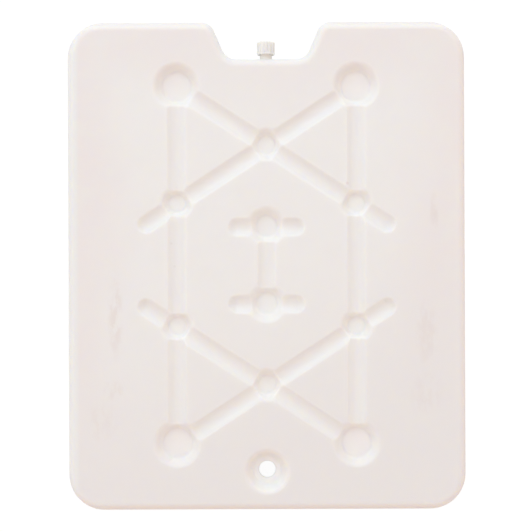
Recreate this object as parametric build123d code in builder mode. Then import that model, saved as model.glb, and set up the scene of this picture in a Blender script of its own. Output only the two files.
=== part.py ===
# A reusable ice pack: a flat freeze board, blow moulded in polyethylene round its gel, and its filler cap.
# Millimetres. The board lies on its back: X runs across it, Y towards the filler, Z up out of its face.
from build123d import *
import os
from math import hypot

# Board
board_width = 250.0
board_length = 307.0
board_thickness = 16.0
corner_radius = 22.5
edge_radius = 5.0
side_draft = 2.0

# Notch that the filler stands in
notch_mouth_width = 70.0
notch_floor_width = 50.0
notch_depth = 23.2
notch_lip_radius = 8.5
notch_root_radius = 9.5

# The lattice of tack-offs and grooves sits a little nearer the filler than the board's middle
lattice_y = 0.8

# Round tack-offs, where the two walls are drawn together
tack_depth = 6.0
tack_floor_radius = 1.6
corner_tack_x = 56.4
corner_tack_y = 112.3
corner_tack_rim = 28.0
corner_tack_floor = 18.2
crossing_tack_inset = 0.45
crossing_tack_floor = 11.0
side_tack_y = 38.6
side_tack_rim = 19.4
side_tack_floor = 10.6
centre_tack_y = 24.5
centre_tack_rim = 22.8
centre_tack_floor = 12.8

# Round-bottomed grooves between the tack-offs
groove_width = 11.1
groove_depth = 2.6
stub_reach = 22.8
arm_reach = 18.4
shoulder_radius = 1.0

# Hanging hole and the dish round it
hole_to_end = 25.0
hole_diameter = 10.5
dish_below_hole = 1.0
dish_rim = 28.0
dish_floor = 18.8
hole_web = 2.6

# Filler neck and its cap
neck_diameter = 7.5
neck_showing = 3.0
neck_in_cap = 6.0
neck_flare = 1.0
neck_root = 3.0
cap_diameter = 11.3
cap_height = 8.1
cap_clearance = 0.1
cap_edge_radius = 0.7
cap_rim_height = 0.9
flute_count = 14
flute_radius = 0.9
flute_depth = 0.35

os.makedirs("parts", exist_ok=True)

# Places that follow from the sizes
mid = board_thickness / 2
face = board_thickness
half_width = board_width / 2
half_length = board_length / 2
mouth_half = notch_mouth_width / 2
root_half = notch_floor_width / 2
hole_y = hole_to_end - half_length
notch_floor_y = half_length - notch_depth
cap_seat_y = notch_floor_y + neck_showing

# A groove is part of a round bar whose axis lies above the face
groove_radius = (groove_width**2 / 4 + groove_depth**2) / (2 * groove_depth)
groove_z = face + groove_radius - groove_depth

# Each diagonal runs from a corner tack-off through the middle to the side tack-off across from it
diagonal_x = 2 * corner_tack_x
diagonal_y = corner_tack_y - side_tack_y
diagonal = hypot(diagonal_x, diagonal_y)
stub_x = corner_tack_x + stub_reach * diagonal_x / diagonal
stub_y = side_tack_y - stub_reach * diagonal_y / diagonal
crossing_tack_y = (corner_tack_y + side_tack_y) / 2
# The rim of the crossing tack-off stops just short of the corners between its two grooves
crossing_tack_rim = groove_width * diagonal / diagonal_y - 2 * crossing_tack_inset


def groove(start, end):
    # Cuts a round-bottomed groove into the face between two points of the lattice
    run = Vector(end[0] - start[0], end[1] - start[1])
    foot = (start[0], lattice_y + start[1], groove_z)
    with BuildSketch(Plane(origin=foot, x_dir=(0, 0, 1), z_dir=run)) as section:
        Circle(groove_radius)
    extrude(section.sketch, amount=run.length, mode=Mode.SUBTRACT)


def tack(places, rim, floor, depth):
    # Cuts cone-walled recesses down from the face
    with Locations([(x, y, face) for x, y in places]):
        Cone(floor / 2, rim / 2, depth, align=(Align.CENTER, Align.CENTER, Align.MAX), mode=Mode.SUBTRACT)


with BuildPart() as pack_body:
    # Upper half of the board, from its parting line to its face
    with BuildSketch(Plane.XY.offset(mid)):
        with BuildLine():
            Polyline(
                (half_width, -half_length),
                (half_width, half_length),
                (mouth_half, half_length),
                (root_half, notch_floor_y),
                (-root_half, notch_floor_y),
                (-mouth_half, half_length),
                (-half_width, half_length),
                (-half_width, -half_length),
                close=True,
            )
        make_face()
        fillet(vertices().group_by(Axis.Y)[1], radius=notch_root_radius)
        fillet(vertices().group_by(Axis.Y)[-1].sort_by(Axis.X)[1:-1], radius=notch_lip_radius)
        fillet(vertices().group_by(Axis.X)[0] + vertices().group_by(Axis.X)[-1], radius=corner_radius)
    extrude(amount=mid, taper=side_draft)
    fillet(faces().sort_by(Axis.Z)[-1].edges(), radius=edge_radius)

    # Relief of the face: grooves first, then the tack-offs that they run into
    for up in (1, -1):
        groove((0, up * centre_tack_y), (0, 0))
        groove((-arm_reach, up * centre_tack_y), (arm_reach, up * centre_tack_y))
        for side in (1, -1):
            groove((side * corner_tack_x, up * corner_tack_y), (side * corner_tack_x, 0))
            groove((side * corner_tack_x, up * corner_tack_y), (-side * stub_x, up * stub_y))
    both_ways = [(side, up) for side in (1, -1) for up in (1, -1)]
    groove_ends = [(side * stub_x, lattice_y + up * stub_y, groove_z) for side, up in both_ways]
    groove_ends += [(side * arm_reach, lattice_y + up * centre_tack_y, groove_z) for side, up in both_ways]
    with Locations(groove_ends):
        Sphere(groove_radius, mode=Mode.SUBTRACT)
    corner_tacks = [(side * corner_tack_x, lattice_y + up * corner_tack_y) for side, up in both_ways]
    side_tacks = [(side * corner_tack_x, lattice_y + up * side_tack_y) for side, up in both_ways]
    crossing_tacks = [(0, lattice_y + up * crossing_tack_y) for up in (1, -1)]
    centre_tacks = [(0, lattice_y + up * centre_tack_y) for up in (1, -1)]
    tack(corner_tacks, corner_tack_rim, corner_tack_floor, tack_depth)
    tack(side_tacks, side_tack_rim, side_tack_floor, tack_depth)
    tack(crossing_tacks, crossing_tack_rim, crossing_tack_floor, tack_depth)
    tack(centre_tacks, centre_tack_rim, centre_tack_floor, tack_depth)
    tack([(0, hole_y - dish_below_hole)], dish_rim, dish_floor, mid - hole_web / 2)

    # Soft foot to each recess wall, and a soft shoulder where the relief breaks the face
    level_faces = faces().filter_by(Plane.XY).group_by(Axis.Z)
    tack_floors = ShapeList([f for group in level_faces[1:-1] for f in group])
    fillet(tack_floors.edges(), radius=tack_floor_radius)
    face_panels = faces().filter_by(Plane.XY).group_by(Axis.Z)[-1]
    board_rim = face_panels.sort_by(SortBy.AREA)[-1].outer_wire().edges()
    fillet(face_panels.edges() - board_rim, radius=shoulder_radius)

    # The back carries the same relief
    mirror(about=Plane.XY.offset(mid))
    with Locations((0, hole_y, face)):
        Hole(hole_diameter / 2)

    # Filler neck, moulded in one with the board
    with BuildSketch(Plane.XY.offset(mid)):
        with BuildLine():
            neck_foot = neck_diameter / 2 + neck_flare
            neck_top_y = cap_seat_y + neck_in_cap
            Polyline((neck_foot, notch_floor_y), (neck_foot, notch_floor_y - neck_root), (0, notch_floor_y - neck_root))
            Polyline((0, notch_floor_y - neck_root), (0, neck_top_y), (neck_diameter / 2, neck_top_y))
            Line((neck_diameter / 2, neck_top_y), (neck_diameter / 2, notch_floor_y + neck_flare))
            RadiusArc((neck_diameter / 2, notch_floor_y + neck_flare), (neck_foot, notch_floor_y), neck_flare)
        make_face()
    revolve(axis=Axis((0, 0, mid), (0, 1, 0)))
pack_body.part.label = "pack_body"
export_step(pack_body.part, "parts/pack_body.step")


def across_neck(y):
    # Plane square to the neck, facing away from the board
    return Plane(origin=(0, y, mid), x_dir=(1, 0, 0), z_dir=(0, 1, 0))


with BuildPart() as filler_cap:
    with BuildSketch(across_neck(cap_seat_y)):
        Circle(cap_diameter / 2)
    extrude(amount=cap_height)
    fillet(edges().sort_by(Axis.Y)[-1], radius=cap_edge_radius)
    # Finger flutes, from a plain rim up to the top
    with BuildSketch(across_neck(cap_seat_y + cap_rim_height)):
        with PolarLocations(cap_diameter / 2 + flute_radius - flute_depth, flute_count):
            Circle(flute_radius)
    extrude(amount=cap_height - cap_rim_height, mode=Mode.SUBTRACT)
    # Socket that closes down on the end of the neck
    with BuildSketch(across_neck(cap_seat_y)):
        Circle(neck_diameter / 2 + cap_clearance)
    extrude(amount=neck_in_cap, mode=Mode.SUBTRACT)
filler_cap.part.label = "filler_cap"
export_step(filler_cap.part, "parts/filler_cap.step")
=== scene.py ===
from math import atan2, ceil, cos, hypot, pi, radians, sin, tan

import bpy
import numpy as np
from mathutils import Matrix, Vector
from mathutils.geometry import delaunay_2d_cdt


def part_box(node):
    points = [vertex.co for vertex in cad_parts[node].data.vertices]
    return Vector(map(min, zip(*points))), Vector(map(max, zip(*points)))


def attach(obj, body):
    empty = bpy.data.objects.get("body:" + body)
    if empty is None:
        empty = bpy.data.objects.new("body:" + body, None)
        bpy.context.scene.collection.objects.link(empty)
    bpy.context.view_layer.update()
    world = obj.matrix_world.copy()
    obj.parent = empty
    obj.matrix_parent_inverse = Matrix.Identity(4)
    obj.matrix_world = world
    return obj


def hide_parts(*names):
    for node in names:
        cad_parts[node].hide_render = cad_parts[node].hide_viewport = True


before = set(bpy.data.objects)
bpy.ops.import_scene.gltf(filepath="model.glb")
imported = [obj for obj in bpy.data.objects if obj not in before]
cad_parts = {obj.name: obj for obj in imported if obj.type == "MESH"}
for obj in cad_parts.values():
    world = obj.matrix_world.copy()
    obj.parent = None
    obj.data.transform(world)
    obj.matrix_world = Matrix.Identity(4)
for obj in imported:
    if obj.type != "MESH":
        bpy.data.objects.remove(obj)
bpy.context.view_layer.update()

# Sizes of pieces are in millimetres, and become metres when a mesh is made
mm = 0.001
# The far corner of the board's box, which lies round the origin with its back at height 0
halfWidth, halfLength, thickness = (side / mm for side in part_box("pack_body")[1])
midHeight = thickness / 2
print("board", 2 * halfWidth, "x", 2 * halfLength, "x", thickness)


# Mesh helpers
def softMin(a, b, band):
    # The lower of two heights, less a parabola where they are within a band of each other
    return np.minimum(a, b) - np.maximum(band - np.abs(a - b), 0) ** 2 / (4 * band)


def softMax(a, b, band):
    # The higher of two heights, and the same parabola more where they are within the band
    return -softMin(-a, -b, band)


def bandFaces(rings):
    # Quads between each closed ring of point numbers and the next
    return [np.stack([a, np.roll(a, -1), np.roll(b, -1), b], axis=1) for a, b in zip(rings, rings[1:])]


def makePiece(name, points, faces, slot):
    # One smooth-shaded object at the origin, from points in millimetres and blocks of faces
    mesh = bpy.data.meshes.new(name)
    mesh.from_pydata((points * mm).tolist(), [], [face for block in faces for face in block.tolist()])
    mesh.shade_smooth()
    piece = bpy.data.objects.new(name, mesh)
    bpy.context.scene.collection.objects.link(piece)
    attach(piece, "root")
    print(name, len(mesh.polygons), "faces")
    return piece


def arc(centre, radius, fromAngle, toAngle, count):
    # Points of a round in a profile, its angles in degrees
    angles = np.radians(np.linspace(fromAngle, toAngle, count))
    return [(centre[0] + radius * cos(a), centre[1] + radius * sin(a)) for a in angles]


def lathe(profile, pointCount, cut=None):
    # Carries a profile of (radius, place along Y) round the neck's axis, both of its ends on the axis;
    # cut gives what comes off the radius at each angle and place
    radius, along = np.array(profile[1:-1], float).T
    angle = np.linspace(0, 2 * pi, pointCount, endpoint=False)[None, :]
    reach = radius[:, None] - (cut(angle, along[:, None]) if cut else 0 * angle)
    place = np.broadcast_to(along[:, None], reach.shape)
    rows = np.stack([reach * np.cos(angle), place, midHeight + reach * np.sin(angle)], axis=2)
    poles = [(0, profile[0][1], midHeight), (0, profile[-1][1], midHeight)]
    rings = np.arange(reach.size).reshape(reach.shape)
    firstPole, lastPole = (np.full(pointCount, reach.size + end) for end in (0, 1))
    firstFan = np.stack([firstPole, np.roll(rings[0], -1), rings[0]], axis=1)
    lastFan = np.stack([rings[-1], np.roll(rings[-1], -1), lastPole], axis=1)
    return np.concatenate([rows.reshape(-1, 3), poles]), [firstFan, *bandFaces(rings), lastFan]


# Board
board = {
    "cornerRadius": 22.5,
    "lipRadius": 8.5,        # where the notch opens at the end of the board
    "rootRadius": 9.5,       # in the two corners of the notch
    "notchMouth": 70.0,
    "notchFloor": 50.0,
    "notchDepth": 23.2,
    "edgeRadius": 5.0,
    "draftAngle": 2.0,
    "seamStandsOut": 0.12,   # the moulding seam round the side
    "seamHalfHeight": 0.3,
    "wallRow": 2.0,          # height above the seam of a row of points on the plain wall
    "faceMargin": 1.5,       # level strip inside the rounded edge
    "outlineStep": 1.8,
}
relief = {
    "grooveWidth": 11.1,
    "grooveDepth": 2.6,
    "tackDepth": 6.0,
    "shoulderBand": 0.9,     # softness where a groove leaves the face
    "wallBand": 2.4,         # and where a recess does: its wall steepens all the way down
    "footBand": 1.4,         # softness where its wall meets its floor
    "valleyBand": 0.5,       # softness where a groove runs into a recess
    "shift": 0.8,            # how much nearer the filler the recesses sit than the board's middle
    "grooveShift": 0.2,      # and how much nearer the grooves do
}
# How closely the points of the face lie
spread = {
    "openStep": 5.0,         # between those of the plain face
    "rowStep": 1.6,          # along a groove
    "rows": [0.22, 0.44, 0.62, 0.78, 0.88, 0.96, 1.04, 1.12, 1.24, 1.5],     # shares of its half width
    "groovePoints": 32,      # round each end of a groove
    "ringPoints": 64,        # round a recess
    "footRings": [-1.1, -0.6, -0.3, 0, 0.3, 0.6],                            # out from its floor's edge
    "wallFrom": 1.1,         # the first ring of its wall, and the step between the others
    "wallStep": 0.5,
    "pastRim": 2.6,          # where its rings stop
    "rowsClear": 3.0,        # how far outside its rim the rows of the grooves stop
    "edgeClear": 1.0,        # points left out beside the face's edge, and beside the hanging hole
    "holeClear": 0.8,
}
cornerTack = {"x": 56.4, "y": 112.3, "rim": 27.6, "floor": 18.9}
sideTack = {"x": 56.4, "y": 38.6, "rim": 19.2, "floor": 11.4}
crossingTack = {"x": 0.0, "y": (cornerTack["y"] + sideTack["y"]) / 2, "rim": 19.2, "floor": 11.7}
centreTack = {"x": 0.0, "y": 24.2, "rim": 22.6, "floor": 13.6}
stubEnd = (75.5, 26.1)       # where a diagonal stops, past its side recess
armReach = 18.4              # half of each bar of the H
hangHole = {
    "toEnd": 25.0,
    "radius": 5.25,
    "rimRound": 0.9,
    "dishBelow": 0.6,        # how far the dish's middle lies below the hole's
    "dishRim": 26.4,
    "dishFloor": 18.0,
    "web": 2.6,
    "pointCount": 48,
}
holeY = hangHole["toEnd"] - halfLength
dishY = holeY - hangHole["dishBelow"]
webTop = midHeight + hangHole["web"] / 2

# The lattice is alike in all four quarters: these are what the upper right one needs
cornerX, cornerY = cornerTack["x"], cornerTack["y"]
quarterTacks = [cornerTack, sideTack, crossingTack, centreTack]
quarterGrooves = [
    ((cornerX, -cornerY), (cornerX, cornerY)),
    ((-stubEnd[0], stubEnd[1]), (cornerX, cornerY)),
    ((-cornerX, cornerY), stubEnd),
    ((-armReach, centreTack["y"]), (armReach, centreTack["y"])),
    ((0.0, -centreTack["y"]), (0.0, centreTack["y"])),
]
quarters = [(1, 1), (-1, 1), (-1, -1), (1, -1)]


def boardOutline():
    # Walks round the board at its parting line: each corner is an arc tangent to both its sides.
    # Gives points, and the outward direction at each
    mouth, root, floorY = board["notchMouth"] / 2, board["notchFloor"] / 2, halfLength - board["notchDepth"]
    corner, lip, rootRound = board["cornerRadius"], board["lipRadius"], board["rootRadius"]
    corners = [
        (halfWidth, -halfLength, corner), (halfWidth, halfLength, corner), (mouth, halfLength, lip),
        (root, floorY, rootRound), (-root, floorY, rootRound), (-mouth, halfLength, lip),
        (-halfWidth, halfLength, corner), (-halfWidth, -halfLength, corner),
    ]
    places = np.array([c[:2] for c in corners])
    bends, directions = [], []
    befores, afters = np.roll(places, 1, 0), np.roll(places, -1, 0)
    for here, before, after, (_, _, radius) in zip(places, befores, afters, corners):
        arrive, leave = (here - before) / hypot(*(here - before)), (after - here) / hypot(*(after - here))
        turn = atan2(arrive[0] * leave[1] - arrive[1] * leave[0], arrive @ leave)
        side = np.sign(turn)
        start = here - arrive * radius * tan(abs(turn) / 2)
        centre = start + side * radius * np.array([-arrive[1], arrive[0]])
        count = ceil(abs(turn) * radius / board["outlineStep"]) + 1
        angles = atan2(-arrive[0], arrive[1]) + turn * np.linspace(0, 1, count)
        away = np.stack([np.cos(angles), np.sin(angles)], axis=1)
        bends.append(centre + side * radius * away)
        directions.append(away)
    points, outward = [], []
    for i, (bend, away) in enumerate(zip(bends, directions)):
        gap = bend[0] - bends[i - 1][-1]
        count = ceil(hypot(*gap) / board["outlineStep"])
        share = np.linspace(0, 1, count, endpoint=False)[1:, None]
        points += [bends[i - 1][-1] + share * gap, bend]
        outward += [np.repeat(away[:1], count - 1, axis=0), away]
    return np.concatenate(points), np.concatenate(outward)


def edgeProfile():
    # (inset, height) from the moulding seam up the drafted wall and over the rounded edge onto the face
    lean = tan(radians(board["draftAngle"]))
    radius, out, half = board["edgeRadius"], board["seamStandsOut"], board["seamHalfHeight"]
    faceInset = midHeight * lean + radius * tan(radians(90 - board["draftAngle"]) / 2)
    rounded = arc((faceInset, thickness - radius), radius, 180 - board["draftAngle"], 90, 10)
    wall = [(height * lean + out, midHeight + height) for height in (2 * half, board["wallRow"])]
    seam = [(0, midHeight), (0.3 * out, midHeight + 0.5 * half), (half * lean + 0.8 * out, midHeight + half)]
    level = [(faceInset + share * board["faceMargin"], thickness) for share in (0.4, 1)]
    return seam + wall + rounded + level


def fromLine(x, y, start, end):
    # Distance from the straight line between two points, going round its ends
    runX, runY = end[0] - start[0], end[1] - start[1]
    share = np.clip(((x - start[0]) * runX + (y - start[1]) * runY) / (runX**2 + runY**2), 0, 1)
    return np.hypot(x - start[0] - share * runX, y - start[1] - share * runY)


def grooveDepth(distance):
    # Part of a circle in section, carried on past its rim as a straight slope
    half, deep = relief["grooveWidth"] / 2, relief["grooveDepth"]
    radius = (half**2 + deep**2) / (2 * deep)
    bowl = np.sqrt(radius**2 - np.minimum(distance, half) ** 2) - (radius - deep)
    return bowl - np.maximum(distance - half, 0) * half / (radius - deep)


def recessDepth(distance, rim, floor, deep):
    # A wall that rounds down from the face to a straight slope, then a small round onto a level floor
    wall = softMax((rim / 2 - distance) * 2 * deep / (rim - floor), 0, relief["wallBand"])
    return softMin(wall, deep, relief["footBand"])


def reliefDepth(x, y):
    # Depth below the face: the deeper of the grooves and the recesses at each point, joined softly
    foldX, foldY, grooveY = np.abs(x), np.abs(y - relief["shift"]), np.abs(y - relief["grooveShift"])
    depth = np.full(x.shape, -99.0)
    for start, end in quarterGrooves:
        depth = softMax(depth, grooveDepth(fromLine(foldX, grooveY, start, end)), relief["valleyBand"])
    depth = softMax(depth, 0, relief["shoulderBand"])
    for tack in quarterTacks:
        distance = np.hypot(foldX - tack["x"], foldY - tack["y"])
        cone = recessDepth(distance, tack["rim"], tack["floor"], relief["tackDepth"])
        depth = softMax(depth, cone, np.minimum(relief["valleyBand"], depth + cone) + 1e-9)
    dish = recessDepth(np.hypot(x, y - dishY), hangHole["dishRim"], hangHole["dishFloor"], thickness - webTop)
    return np.maximum(depth, dish)


def ringsRound(x, y, rim, floor):
    # Rings of points on a recess, closest where its section bends, each turned half a step from the last
    foot = floor / 2 + np.array(spread["footRings"])
    wall = np.arange(floor / 2 + spread["wallFrom"], rim / 2 + spread["pastRim"], spread["wallStep"])
    radii = np.concatenate([[floor / 6, floor / 3], foot, wall])[:, None]
    step = 2 * pi / spread["ringPoints"]
    angles = step * (np.arange(spread["ringPoints"]) + np.arange(len(radii))[:, None] % 2 / 2)
    return np.stack([x + radii * np.cos(angles), y + radii * np.sin(angles)], axis=2).reshape(-1, 2)


def rowsAlong(start, end):
    # Rows of points on a groove, closest at its rims, carried round its two ends
    start, end = np.array(start), np.array(end)
    length = hypot(*(end - start))
    run = (end - start) / length
    reach = relief["grooveWidth"] / 2 * np.array(spread["rows"])
    across = np.concatenate([-reach[::-1], [0], reach])[:, None] * np.array([-run[1], run[0]])
    along = np.linspace(start, end, ceil(length / spread["rowStep"]) + 1)
    angles = np.linspace(0, 2 * pi, spread["groovePoints"], endpoint=False)
    swing = reach[:, None, None] * np.stack([np.cos(angles), np.sin(angles)], axis=1)
    points = [along[:, None] + across, start + swing, end + swing]
    return np.concatenate([p.reshape(-1, 2) for p in points])


def facePoints(edge, outward, holeRing):
    # Points of the face: its edge, the hole's ring, rows and rings on the relief, and a coarse grid between.
    # Each groove and recess of the four quarters comes once; adding 0.0 makes one place of 0 and -0
    lines = {tuple(sorted(((a[0] * sideX, a[1] * sideY), (b[0] * sideX, b[1] * sideY))))
             for a, b in quarterGrooves for sideX, sideY in quarters}
    tacks = {(tack["x"] * sideX + 0.0, tack["y"] * sideY, tack["rim"], tack["floor"])
             for tack in quarterTacks for sideX, sideY in quarters}
    dish = (0.0, dishY, hangHole["dishRim"], hangHole["dishFloor"])
    recesses = [(x, y + relief["shift"], rim, floor) for x, y, rim, floor in sorted(tacks)] + [dish]
    rows = np.concatenate([rowsAlong(*line) for line in sorted(lines)]) + (0, relief["grooveShift"])
    for x, y, rim, floor in recesses:
        rows = rows[np.hypot(rows[:, 0] - x, rows[:, 1] - y) > rim / 2 + spread["rowsClear"]]
    rings = np.concatenate([ringsRound(*recess) for recess in recesses])
    gridX, gridY = np.meshgrid(np.arange(-halfWidth, halfWidth, spread["openStep"]),
                               np.arange(-halfLength, halfLength, spread["openStep"]))
    grid = np.stack([gridX.ravel(), gridY.ravel()], axis=1)
    grid = grid[reliefDepth(*grid.T) <= 0]
    inner = np.unique(np.concatenate([rows, rings, grid]).round(4), axis=0)
    nearest = np.argmin(np.hypot(*(inner[:, None] - edge[None]).transpose(2, 0, 1)), axis=1)
    depthInside = -np.sum((inner - edge[nearest]) * outward[nearest], axis=1)
    holeReach = hangHole["radius"] + hangHole["rimRound"] + spread["holeClear"]
    clearOfHole = np.hypot(inner[:, 0], inner[:, 1] - holeY) > holeReach
    return np.concatenate([edge, holeRing, inner[(depthInside > spread["edgeClear"]) & clearOfHole]])


def triangulate(points, edgeCount, holeCount):
    # Joins the face's points, keeping its outer edge and the hole's ring, with nothing outside or in the hole
    loops = [np.arange(edgeCount), edgeCount + np.arange(holeCount)]
    sides = np.concatenate([np.stack([loop, np.roll(loop, -1)], axis=1) for loop in loops])
    corners, rim = [Vector(p) for p in points.tolist()], [loops[0].tolist()]
    found = delaunay_2d_cdt(corners, sides.tolist(), rim, 1, 1e-4)
    places, triangles = np.array([tuple(p) for p in found[0]]), np.array(found[2])
    if len(places) != len(points) or not np.allclose(places, points, atol=1e-3):
        raise ValueError("the face's points came back in another order")
    inHole = ((triangles >= edgeCount) & (triangles < edgeCount + holeCount)).all(axis=1)
    return triangles[~inHole]


def boardShell():
    # The upper half from the moulding seam to the hole's wall, and its mirror image below the seam
    outline, outward = boardOutline()
    profile = edgeProfile()
    bands = [np.column_stack([outline - outward * inset, np.full(len(outline), height)])
             for inset, height in profile]
    holeCount = hangHole["pointCount"]
    angles = np.linspace(0, 2 * pi, holeCount, endpoint=False)
    rimRound, radius = hangHole["rimRound"], hangHole["radius"]
    holeProfile = arc((radius + rimRound, webTop - rimRound), rimRound, 90, 180, 5) + [(radius, midHeight)]
    holeRings = [np.column_stack([r * np.cos(angles), holeY + r * np.sin(angles), np.full(holeCount, z)])
                 for r, z in holeProfile]
    face = facePoints(bands[-1][:, :2], outward, holeRings[0][:, :2])
    triangles = triangulate(face, len(outline), holeCount)
    heights = thickness - reliefDepth(*face.T)
    heights[:len(outline)] = thickness
    blocks = [*bands[:-1], np.column_stack([face, heights]), *holeRings[1:]]
    firsts = np.cumsum([0] + [len(block) for block in blocks])
    faceFirst = firsts[len(bands) - 1]
    bandRings = [first + np.arange(len(outline)) for first in firsts[:len(bands)]]
    holeFirsts = [faceFirst + len(outline), *firsts[len(bands):-1]]
    wallRings = [first + np.arange(holeCount) for first in holeFirsts]
    upper = np.concatenate(blocks)
    faces = [*bandFaces(bandRings), triangles + faceFirst, *bandFaces(wallRings)]
    own = np.ones(len(upper), bool)
    own[np.concatenate([bandRings[0], wallRings[-1]])] = False
    lower = (upper * (1, 1, -1) + (0, 0, thickness))[own]
    twin = np.where(own, len(upper) + np.cumsum(own) - 1, np.arange(len(upper)))
    return np.concatenate([upper, lower]), faces + [twin[block][:, ::-1] for block in faces]


# Filler neck and cap
neck = {
    "diameter": 7.5,
    "showing": 3.0,
    "inCap": 6.0,
    "flare": 1.4,
    "flareSunk": 0.5,        # so that its rim stays in the board's rounded edge
    "root": 3.0,             # how deep it starts inside the board
    "tipBevel": 0.4,
    "pointCount": 48,
    # darker and warmer than the board's plastic: painted shade for the cap's shade over the neck
    "colour": (0.855, 0.822, 0.762, 1),
}
cap = {
    "diameter": 11.3,
    "height": 8.1,
    "clearance": 0.1,
    "edgeRadius": 0.7,
    "plainRim": 0.9,
    "fluteCount": 14,
    "fluteDepth": 0.35,
    "fluteShare": 0.56,      # how much of the pitch each flute takes
    "edgeSoftness": 0.15,    # how fast a flute deepens from its lower end
    "lipRound": 0.5,
    "mouthBevel": 0.2,
    "pointsPerFlute": 12,
    "sideRows": 6,           # rows of points down the flutes, which stop short of the edge and the rim
    "shortOfEdge": 0.4,
    "shortOfRim": 0.6,
    "rimRows": (0.3, 0.15, 0, -0.2),         # and those about the flutes' lower ends
}
notchFloorY = halfLength - board["notchDepth"]
capSeatY = notchFloorY + neck["showing"]


def neckShell():
    # A straight tube with a flared foot sunk in the board, closed at both ends
    radius, flare = neck["diameter"] / 2, neck["flare"]
    foot = arc((radius + flare, notchFloorY - neck["flareSunk"] + flare), flare, 270, 180, 7)
    sunk = notchFloorY - neck["root"]
    top = capSeatY + neck["inCap"]
    tip = [(radius, capSeatY), (radius, top - neck["tipBevel"]), (radius - neck["tipBevel"], top), (0, top)]
    profile = [(0, sunk), (radius + flare, sunk), *foot, *tip]
    return lathe(profile[::-1], neck["pointCount"])


def fluteCut(angle, along):
    # Half round hollows at even angles down the cap's side, from nothing at its plain rim to full depth
    pitch = 2 * pi / cap["fluteCount"]
    share = np.abs((angle / pitch + 0.5) % 1 - 0.5) * 2 / cap["fluteShare"]
    hollow = np.sqrt(np.maximum(1 - share**2, 0))
    start = np.clip((along - capSeatY - cap["plainRim"]) / cap["edgeSoftness"], 0, 1)
    return cap["fluteDepth"] * hollow * start


def capShell():
    # Outside from the top's middle over its edge and down the flutes, then up into the socket
    radius, edgeRound, lipRound = cap["diameter"] / 2, cap["edgeRadius"], cap["lipRound"]
    top, bore, bevel = capSeatY + cap["height"], neck["diameter"] / 2 + cap["clearance"], cap["mouthBevel"]
    rimTop = capSeatY + cap["plainRim"]
    edge = arc((radius - edgeRound, top - edgeRound), edgeRound, 90, 0, 6)
    sideTop, sideFoot = top - edgeRound - cap["shortOfEdge"], rimTop + cap["shortOfRim"]
    side = [(radius, y) for y in np.linspace(sideTop, sideFoot, cap["sideRows"])]
    rim = [(radius, rimTop + step) for step in cap["rimRows"]]
    lip = arc((radius - lipRound, capSeatY + lipRound), lipRound, 0, -90, 5)
    mouth = [(bore + bevel, capSeatY), (bore, capSeatY + bevel)]
    socket = [(bore, capSeatY + neck["inCap"]), (0, capSeatY + neck["inCap"])]
    profile = [(0, top), (radius / 2, top), *edge, *side, *rim, *lip, *mouth, *socket]
    return lathe(profile, cap["fluteCount"] * cap["pointsPerFlute"], fluteCut)


moulding = makePiece("board_moulding", *boardShell(), "board_shell")
stalk = makePiece("filler_neck", *neckShell(), "board_shell")
for piece in (moulding, stalk):
    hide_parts("pack_body")
capPiece = makePiece("fluted_cap", *capShell(), "cap_plastic")
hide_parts("filler_cap")


# Materials
class Wire:
    # One output socket; arithmetic on it adds Math nodes beside it
    def __init__(self, owner, socket=None):
        self.owner, self.socket = owner, socket

    def add(self, kind, settings=None, inputs=None, output=0):
        # Adds any node: its settings first, then values or wires on its sockets
        tree = self.owner.node_tree
        node = tree.nodes.new(kind)
        for name, value in (settings or {}).items():
            setattr(node, name, value)
        for name, value in (inputs or {}).items():
            if isinstance(value, Wire):
                tree.links.new(value.socket, node.inputs[name])
            else:
                node.inputs[name].default_value = value
        return Wire(self.owner, node.outputs[output] if node.outputs else None)

    def math(self, operation, first, second=0.0):
        # One Math node on two values or wires
        return self.add("ShaderNodeMath", {"operation": operation}, {0: first, 1: second})

    def __add__(self, other):
        return self.math("ADD", self, other)

    def __sub__(self, other):
        return self.math("SUBTRACT", self, other)

    def __mul__(self, other):
        return self.math("MULTIPLY", self, other)

    def __truediv__(self, other):
        return self.math("DIVIDE", self, other)

    def __pow__(self, other):
        return self.math("POWER", self, other)

    def __rsub__(self, other):
        return self.math("SUBTRACT", other, self)

    def __rtruediv__(self, other):
        return self.math("DIVIDE", other, self)

    __radd__, __rmul__ = __add__, __mul__

    def size(self):
        return self.math("ABSOLUTE", self)

    def ease(self, low, high):
        # 0 below low and 1 above high, with a smooth rise between them
        inputs = {"Value": self, "From Min": low, "From Max": high, "To Min": 0.0, "To Max": 1.0}
        return self.add("ShaderNodeMapRange", {"interpolation_type": "SMOOTHSTEP"}, inputs)

    def above(self, other):
        return self.math("MAXIMUM", self, other)

    def blend(self, first, second):
        # Colour that goes from the first to the second as this value rises from 0 to 1
        colours = {"Factor": self, 6: first, 7: second}
        return self.add("ShaderNodeMix", {"data_type": "RGBA"}, colours, output=2)


def blank(owner):
    # An empty node tree to build in
    owner.use_nodes = True
    owner.node_tree.nodes.clear()
    return Wire(owner)


def finishWith(start, surface):
    # Puts a shader on the material's output, and gives the material
    start.add("ShaderNodeOutputMaterial", None, {"Surface": surface})
    return start.owner


def noise(start, place, scale, detail, roughness=0.5):
    # Noise between 0 and 1, most of it near a half
    inputs = {"Vector": place, "Scale": scale, "Detail": detail, "Roughness": roughness}
    return start.add("ShaderNodeTexNoise", None, inputs)


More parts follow.
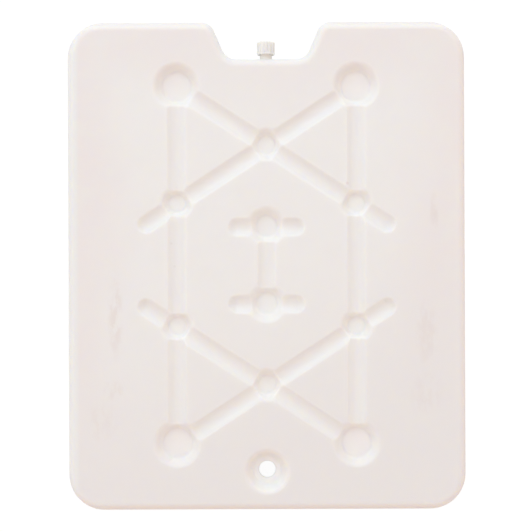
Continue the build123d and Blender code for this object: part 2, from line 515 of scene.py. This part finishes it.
shell = {
    "colour": {                               # linear
        "middle": (0.892, 0.880, 0.860, 1),
        "margin": (0.880, 0.838, 0.822, 1),
        "cast": (0.878, 0.866, 0.833, 1),     # uneven tint of the plastic
        "falloffShade": (0.858, 0.838, 0.823, 1),     # painted shade: greyer away from the filler, where the lamp's light falls off
        "web": (1.000, 0.943, 0.893, 1),      # painted light where the two walls are pulled together, with no gel behind: lighter with depth, standing in for light through the thin web and lifting the recesses' shade
        "cornerWebLight": (1.000, 0.906, 0.885, 1),   # the same painted light, pinker on the floors of the corner recesses
        # painted highlight on the rounded top edge, which faces the lamp
        "topEdgeHighlight": (0.912, 0.882, 0.850, 1),
        "shadedLowEdge": (0.862, 0.814, 0.783, 1),  # painted shade on the rounded bottom edge, also on the right-hand side, away from the lamp
        "litSide": (0.872, 0.870, 0.855, 1),  # the side and the notch that face the lamp
        "grime": (0.800, 0.732, 0.700, 1),
    },
    "reach": {                                # where a tint begins and is full: metres from the middle
        "margin": (0.070, 0.118),
        "sides": (0.1165, 0.1190),            # beside the face and below it
        "notch": (0.1285, 0.1300),            # from the notch's floor up
        "besideNotch": (0.036, 0.040),
        "cornerAlong": (0.085, 0.095),        # the corner recesses
        "cornerAcross": (0.030, 0.040),
        "dishAlong": (0.110, 0.120),
        "dishAcross": (0.018, 0.022),
        "falloffShade": (-0.030, 0.150),
        "topEdgeHighlight": (0.1475, 0.1492),
        "pastTopEdge": (0.1502, 0.1520),
        "shadedLowEdge": (0.1488, 0.1515),
        "shadedRightSide": (0.1205, 0.1242),
        "leftSide": (0.1170, 0.1200),
        "nearFace": (0.0150, 0.0158),         # height above the floor
    },
    "depth": {                                # the same in shares of a recess's depth
        "face": (0.0, 0.25),
        # where the recesses' painted light begins and is full: down the dish's wall, and on the other
        # recesses' walls, feet and floors
        "dishWebLight": (0.02, 0.30),
        "wall": (0.20, 0.45),
        "foot": (0.50, 0.92),
        "floor": (0.86, 0.98),
    },
    "strength": {                             # of a tint where it is full
        "cast": 0.5,
        # how strong the recesses' painted light is on their walls and feet, and how much less of it the
        # corners get
        "wall": 0.25,
        "foot": 0.75,
        "lessWebLightInCorner": 0.35,
        "topEdgeHighlight": 0.9,
        "shadedRightSide": 0.65,
    },
    "marginAlong": 0.8,                       # places along the board count for less than those across
    "sidesAlong": 0.81,
    "marginWander": 0.06,
    "falloffShadeLean": 0.3,                          # to the right
    "castEdges": (0.45, 0.75),
    "cloudNoise": (14.0, 3.0),                # scale and detail of each noise
    "castNoise": (55.0, 4.0),
    "grainNoise": (900.0, 2.0),
    "swellNoise": (22.0, 2.0),
    "grainHeight": 0.000012,                  # fine relief, in metres
    "swellHeight": 0.0004,
    "grimeHeight": 0.00003,
    "roughness": 0.42,
    "grainRoughness": 0.10,
    "grimeRoughness": 0.2,
    "clouding": 0.9,                          # how much light goes through the wall rather than off it
    "lightSpread": (2.6, 2.4, 1.8),           # millimetres, red furthest
}


def tintAndPaintedLight(start, place, x, y, z):
    # The plastic's own colour, pinker at the margins and unevenly tinted, with painted light and shade on it:
    # painted shade away from the filler, painted light in the recesses' thin webs, a painted highlight on the
    # top edge, painted shade on the bottom edge and right side, and painted light on the side and notch that
    # face the lamp
    colours, reach, depths, strength = (shell[name] for name in ("colour", "reach", "depth", "strength"))
    fromMiddle = x.size().above(y.size() * shell["marginAlong"])
    wander = (noise(start, place, *shell["cloudNoise"]) - 0.5) * shell["marginWander"]
    margin = (fromMiddle + wander).ease(*reach["margin"])
    colour = margin.blend(colours["middle"], colours["margin"])
    cast = noise(start, place, *shell["castNoise"]).ease(*shell["castEdges"])
    colour = (cast * strength["cast"]).blend(colour, colours["cast"])
    sides = x.size().above(y.size() * shell["sidesAlong"]).ease(*reach["sides"])
    outside = sides.above(y.ease(*reach["notch"]))
    depth = (midHeight * mm - (z - midHeight * mm).size()) / (relief["tackDepth"] * mm)
    inCorner = y.size().ease(*reach["cornerAlong"]) * x.size().ease(*reach["cornerAcross"])
    # Painted light in the recesses: lighter with depth, most at their feet, standing in for light through the
    # thin web and lifting their shade
    wall, foot = depth.ease(*depths["wall"]), depth.ease(*depths["foot"])
    webLight = wall * strength["wall"] + foot * strength["foot"]
    inDish = (0 - y).ease(*reach["dishAlong"]) * (1 - x.size().ease(*reach["dishAcross"]))
    dishWebLight = inDish * depth.ease(*depths["dishWebLight"])
    # less of this painted light in the corner recesses, all of it down the dish's wall, none on the sides
    deep = (webLight * (1 - inCorner * strength["lessWebLightInCorner"])).above(dishWebLight) * (1 - outside)
    # Painted shade on the face: greyer towards the bottom and the right, away from the lamp, and not in the
    # recesses
    falloffShade = (x * shell["falloffShadeLean"] - y).ease(*reach["falloffShade"]) * (1 - depth.ease(*depths["face"]))
    colour = falloffShade.blend(colour, colours["falloffShade"])
    cornerFloor = inCorner * depth.ease(*depths["floor"])
    colour = deep.blend(colour, cornerFloor.blend(colours["web"], colours["cornerWebLight"]))
    # Painted highlight along the rounded top edge
    topEdgeHighlight = y.ease(*reach["topEdgeHighlight"]) * (1 - y.ease(*reach["pastTopEdge"]))
    colour = (topEdgeHighlight * strength["topEdgeHighlight"]).blend(colour, colours["topEdgeHighlight"])
    # Painted shade on the bottom edge and, less of it, on the right side
    shadedRightSide = x.ease(*reach["shadedRightSide"]) * strength["shadedRightSide"]
    colour = (0 - y).ease(*reach["shadedLowEdge"]).above(shadedRightSide).blend(colour, colours["shadedLowEdge"])
    inNotch = y.ease(*reach["notch"]) * (1 - x.size().ease(*reach["besideNotch"]))
    litSide = (0 - x).ease(*reach["leftSide"]).above(inNotch * (1 - z.ease(*reach["nearFace"])))
    return litSide.blend(colour, colours["litSide"])


marks = {                                     # in metres
    "scuffs": [                               # x, y, half width, half height, strength
        (-0.0950, -0.0300, 0.0045, 0.0260, 0.50),
        (-0.0965, -0.0780, 0.0060, 0.0060, 0.35),
        (0.1052, 0.0330, 0.0026, 0.0125, 0.45),
        (0.1002, -0.0420, 0.0065, 0.0190, 0.38),
        (0.1000, -0.0800, 0.0100, 0.0120, 0.25),
        (-0.1035, -0.0975, 0.0090, 0.0120, 0.22),
    ],
    "scuffFade": (0.0, 1.6),                  # from the middle out, in half widths squared
    "streakStretch": (250.0, 110.0, 110.0),
    "streakNoise": (1.0, 3.0, 0.6),
    "streakEdges": (0.38, 0.62),
    "nicks": [                                # x, y, radius, strength
        (0.0508, 0.0517, 0.0012, 0.6),
        (-0.0598, 0.0142, 0.0010, 0.35),
        (-0.0579, -0.0002, 0.0010, 0.3),
    ],
    "nickFade": (0.2, 1.0),
    "front": (1.0, 1.2),                      # they begin above the seam, in shares of its height
}


def rubbedGrime(start, place, x, y, z):
    # Amount of grime: streaky scuffs that fade out from their middles, and small dark nicks, on the face
    stretched = place.add("ShaderNodeMapping", None, {"Vector": place, "Scale": marks["streakStretch"]})
    grime = 0
    for spotX, spotY, halfX, halfY, strength in marks["scuffs"]:
        reach = ((x - spotX) / halfX) ** 2.0 + ((y - spotY) / halfY) ** 2.0
        grime = (1 - reach.ease(*marks["scuffFade"])) * strength + grime
    grime = grime * noise(start, stretched, *marks["streakNoise"]).ease(*marks["streakEdges"])
    for spotX, spotY, radius, strength in marks["nicks"]:
        reach = ((x - spotX) ** 2.0 + (y - spotY) ** 2.0) / radius**2
        grime = (1 - reach.ease(*marks["nickFade"])) * strength + grime
    return grime * z.ease(*(midHeight * share * mm for share in marks["front"]))


def shellMaterial():
    # Satin polyethylene that some of the light goes into, with fine grain, a slow swell, rubbed grime, and
    # painted light and shade in its colour
    start = blank(bpy.data.materials.new("satin_shell"))
    place = start.add("ShaderNodeTexCoord", output="Object")
    x, y, z = (place.add("ShaderNodeSeparateXYZ", None, {0: place}, output=axis) for axis in range(3))
    grime = rubbedGrime(start, place, x, y, z)
    grain = noise(start, place, *shell["grainNoise"])
    swell = noise(start, place, *shell["swellNoise"])
    height = grain * shell["grainHeight"] + swell * shell["swellHeight"] + grime * shell["grimeHeight"]
    bump = start.add("ShaderNodeBump", None, {"Strength": 1.0, "Distance": 1.0, "Height": height})
    roughness = shell["roughness"] + (grain - 0.5) * shell["grainRoughness"] + grime * shell["grimeRoughness"]
    surface = start.add("ShaderNodeBsdfPrincipled", None, {
        "Base Color": grime.blend(tintAndPaintedLight(start, place, x, y, z), shell["colour"]["grime"]),
        "Roughness": roughness, "Normal": bump, "IOR": 1.5,
        "Subsurface Weight": shell["clouding"], "Subsurface Radius": shell["lightSpread"],
        "Subsurface Scale": mm,
    })
    return finishWith(start, surface)


capFinish = {
    "colour": (0.880, 0.850, 0.803, 1),
    "worn": (0.915, 0.905, 0.858, 1),
    "cloud": (260.0, 3.0),
    "wornFrom": (0.35, 0.70),
    "grain": (2600.0, 2.0),
    "grainHeight": 0.000006,
    "roughness": 0.38,
    "cloudRoughness": 0.12,
}


def neckMaterial():
    # The board's plastic where it is thick, in a darker, warmer colour of painted shade: light comes off it
    # and not through it
    start = blank(bpy.data.materials.new("solid_neck"))
    place = start.add("ShaderNodeTexCoord", output="Object")
    height = noise(start, place, *shell["grainNoise"]) * shell["grainHeight"]
    bump = start.add("ShaderNodeBump", None, {"Strength": 1.0, "Distance": 1.0, "Height": height})
    surface = start.add("ShaderNodeBsdfPrincipled", None, {
        "Base Color": neck["colour"], "Roughness": shell["roughness"], "Normal": bump, "IOR": 1.5,
    })
    return finishWith(start, surface)


def capMaterial():
    # Injection-moulded cap plastic, a little darker and warmer than the board, and paler where handled
    start = blank(bpy.data.materials.new("cap_plastic"))
    place = start.add("ShaderNodeTexCoord", output="Object")
    cloud = noise(start, place, *capFinish["cloud"])
    height = noise(start, place, *capFinish["grain"]) * capFinish["grainHeight"]
    colour = cloud.ease(*capFinish["wornFrom"]).blend(capFinish["colour"], capFinish["worn"])
    bump = start.add("ShaderNodeBump", None, {"Strength": 1.0, "Distance": 1.0, "Height": height})
    roughness = capFinish["roughness"] + (cloud - 0.5) * capFinish["cloudRoughness"]
    surface = start.add("ShaderNodeBsdfPrincipled", None, {
        "Base Color": colour, "Roughness": roughness, "Normal": bump, "IOR": 1.5,
        "Subsurface Weight": shell["clouding"], "Subsurface Radius": shell["lightSpread"],
        "Subsurface Scale": mm,
    })
    return finishWith(start, surface)


moulding.data.materials.append(shellMaterial())
stalk.data.materials.append(neckMaterial())
capPiece.data.materials.append(capMaterial())
for node, piece in (("pack_body", moulding), ("filler_cap", capPiece)):
    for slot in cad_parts[node].material_slots:
        slot.material = piece.data.materials[0]
print("materials made")


# Floor, light and camera
stageLook = {
    "floorSize": 3.0,        # metres
    "floorGlow": 0.94,       # white that the camera sees, before the shadow's share
    "floorShade": 0.10,
    "floorPaint": 0.85,      # what the floor throws back at the board
    "ambient": (0.862, 0.752, 0.708, 1),
    "keyTurn": 18.0,         # degrees to the left of the notch's end
    "keyHeight": 38.0,       # degrees above the floor
    "keyDistance": 2.6,      # metres
    "keySize": 2.0,          # its height; it is twice as wide
    "keyPower": 32.5,        # watts
    "keyColour": (0.50, 0.83, 1.0),
}
# The camera's place in metres, its turn in degrees, and lens and sensor in millimetres
view = {"place": (-0.00042, -0.00014, 0.9072), "roll": -0.22, "lens": 96.15, "sensor": 36.0}


def floorMaterial():
    # White to the camera, with the board's shadow left faintly on it, and plain paint to every other ray
    start = blank(bpy.data.materials.new("studio_floor"))
    glow = start.add("ShaderNodeEmission", None, {"Strength": stageLook["floorGlow"]})
    seen = start.add("ShaderNodeBsdfDiffuse", None, {"Color": (stageLook["floorShade"],) * 3 + (1,)})
    paint = start.add("ShaderNodeBsdfDiffuse", None, {"Color": (stageLook["floorPaint"],) * 3 + (1,)})
    lit = start.add("ShaderNodeAddShader", None, {0: glow, 1: seen})
    toCamera = start.add("ShaderNodeLightPath", output="Is Camera Ray")
    return finishWith(start, start.add("ShaderNodeMixShader", None, {0: toCamera, 1: paint, 2: lit}))


def makeFloor():
    # A level square under the board
    half = stageLook["floorSize"] / 2
    mesh = bpy.data.meshes.new("studio_floor")
    corners = [(-half, -half, 0), (half, -half, 0), (half, half, 0), (-half, half, 0)]
    mesh.from_pydata(corners, [], [(0, 1, 2, 3)])
    mesh.materials.append(floorMaterial())
    floor = bpy.data.objects.new("studio_floor", mesh)
    bpy.context.scene.collection.objects.link(floor)


def lightRoom():
    # Even light from all round, white where it is seen or mirrored
    world = bpy.data.worlds.new("studio")
    bpy.context.scene.world = world
    start = blank(world)
    rays = ("Is Camera Ray", "Is Glossy Ray", "Is Transmission Ray")
    camera, glossy, through = (start.add("ShaderNodeLightPath", output=ray) for ray in rays)
    white = camera.above(glossy).above(through)
    light = white.blend(stageLook["ambient"], (1, 1, 1, 1))
    room = start.add("ShaderNodeBackground", None, {"Color": light})
    start.add("ShaderNodeOutputWorld", None, {"Surface": room})


def addKeyLamp():
    # A cool lamp twice as wide as it is high, aimed at the board's middle, placed by its angle round from
    # the notch's end and above the floor
    turn, height = radians(stageLook["keyTurn"]), radians(stageLook["keyHeight"])
    towards = Vector((-sin(turn) * cos(height), cos(turn) * cos(height), sin(height)))
    place = towards * stageLook["keyDistance"]
    data = bpy.data.lights.new("key", "AREA")
    data.shape, data.size, data.size_y = "RECTANGLE", 2 * stageLook["keySize"], stageLook["keySize"]
    data.energy, data.color = stageLook["keyPower"], stageLook["keyColour"]
    lamp = bpy.data.objects.new("key", data)
    lamp.location = place
    lamp.rotation_euler = (-place).to_track_quat("-Z", "Y").to_euler()
    bpy.context.scene.collection.objects.link(lamp)


def makeCamera():
    # Looks straight down, as the photograph does
    data = bpy.data.cameras.new("camera")
    data.sensor_width, data.lens = view["sensor"], view["lens"]
    camera = bpy.data.objects.new("camera", data)
    camera.location = view["place"]
    camera.rotation_euler = (0, 0, radians(view["roll"]))
    bpy.context.scene.collection.objects.link(camera)
    bpy.context.scene.camera = camera


makeFloor()
lightRoom()
addKeyLamp()
makeCamera()
bpy.context.scene.view_settings.view_transform = "Standard"
print("stage set")
